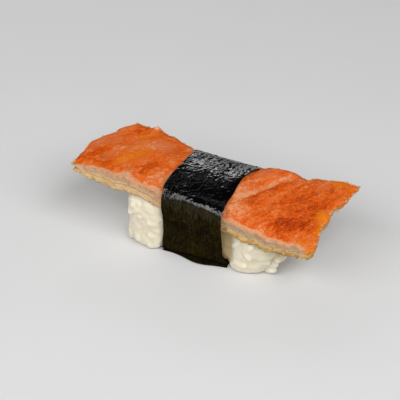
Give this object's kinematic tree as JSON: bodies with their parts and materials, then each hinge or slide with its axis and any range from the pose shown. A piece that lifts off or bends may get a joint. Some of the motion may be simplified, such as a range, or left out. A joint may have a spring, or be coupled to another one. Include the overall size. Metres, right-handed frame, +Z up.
{
  "type": "salmon skin sushi",
  "caption": "Nigiri of pressed rice topped with a long strip of seared salmon on its skin, held by a belt of seaweed; a bite of prepared food.",
  "frame": {"origin": "centre of the bounding box, at the height of the surface that the piece rests on", "axes": "+X along the salmon strip, towards the torn end that hangs lower in front; -Y towards the viewer; +Z up"},
  "size_m": [0.0916, 0.034, 0.0273],
  "materials": {
    "rice": "moist cooked rice, creamy white",
    "salmon_flesh": "seared salmon, mottled orange with a thin film of oil",
    "salmon_skin": "grilled salmon skin, tan with a golden crumbly edge",
    "nori": "roasted seaweed, olive black, glossy and wrinkled on top"
  },
  "bodies": {
    "root": {"rice": "rice", "salmon_flesh": "salmon_flesh", "salmon_skin": "salmon_skin", "nori_belt": "nori"}
  },
  "joints": []
}
